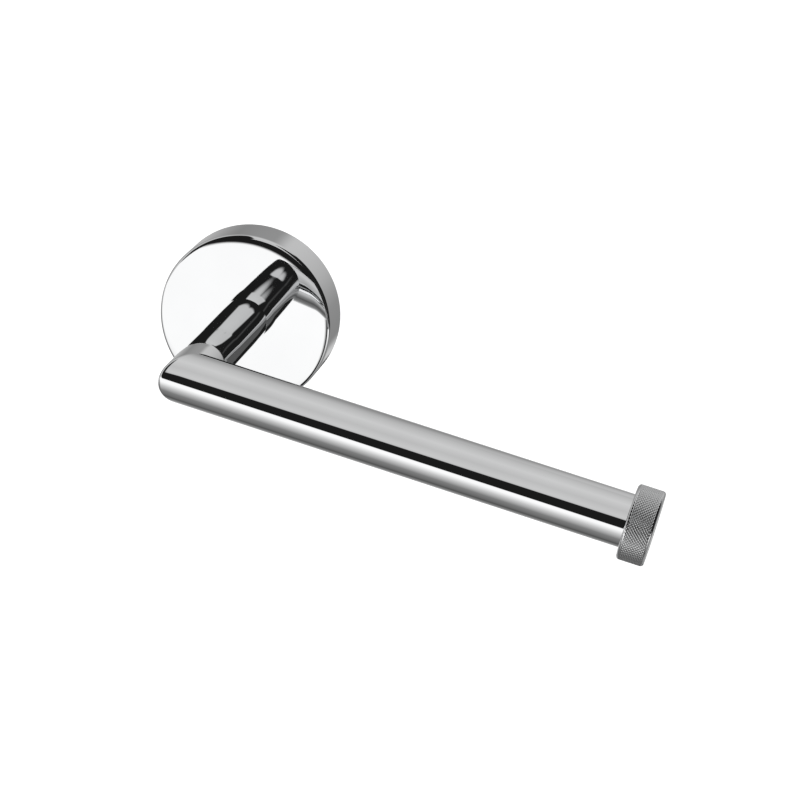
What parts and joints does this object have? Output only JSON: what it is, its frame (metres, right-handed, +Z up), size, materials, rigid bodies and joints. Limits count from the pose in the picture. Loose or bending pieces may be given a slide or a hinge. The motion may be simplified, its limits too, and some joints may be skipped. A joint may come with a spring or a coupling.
{
  "type": "toilet paper holder",
  "caption": "Polished chrome wall-mounted toilet paper holder: round flange, post, mitred corner, straight open-ended bar and a knurled screw-on end cap.",
  "frame": {"origin": "on the wall plane, at the centre of the bracket's back, on the post's axis", "axes": "+X along the bar to its end cap, +Y into the wall, +Z up"},
  "size_m": [0.1699, 0.1121, 0.0552],
  "materials": {
    "polished_chrome": "mirror-polished chrome plate",
    "knurled_chrome": "chrome plate over fine diamond knurling",
    "zinc_plate": "satin zinc plate",
    "fastener_steel": "plain machined steel",
    "brass": "machined brass",
    "nylon": "moulded nylon"
  },
  "bodies": {
    "wall_fixing": {"wall_bracket": "zinc_plate", "wall_screw_left": "fastener_steel", "wall_screw_right": "fastener_steel", "wall_washer_left": "zinc_plate", "wall_washer_right": "zinc_plate", "wall_anchor_left": "nylon", "wall_anchor_right": "nylon"},
    "holder": {"flange_cover": "polished_chrome", "post": "polished_chrome", "locating_pin": "fastener_steel", "lock_washer": "fastener_steel", "post_screw": "fastener_steel", "bar": "polished_chrome", "bar_end_plug": "brass"},
    "seal": {"cap_washer": "nylon"},
    "cap": {"end_cap": "knurled_chrome", "cap_stud": "fastener_steel"},
    "grub": {"set_screw": "fastener_steel"}
  },
  "joints": [
    {"name": "holder_off", "type": "slide", "parent": "wall_fixing", "child": "holder", "axis": [0, -1, 0], "range_m": [0, 0.02]},
    {"name": "cap_travel", "type": "slide", "parent": "holder", "child": "seal", "axis": [1, 0, 0], "range_m": [0, 0.008]},
    {"name": "cap_turn", "type": "hinge", "parent": "seal", "child": "cap", "pos_m": [0.138, -0.0708, 0], "axis": [1, 0, 0], "range_deg": [0, 2880]},
    {"name": "set_screw_out", "type": "slide", "parent": "holder", "child": "grub", "axis": [0, 0, -1], "range_m": [0, 0.003]}
  ],
  "couplings": [
    {"joint": "cap_travel", "follows": "cap_turn", "m_per_rad": 0.00015915}
  ]
}
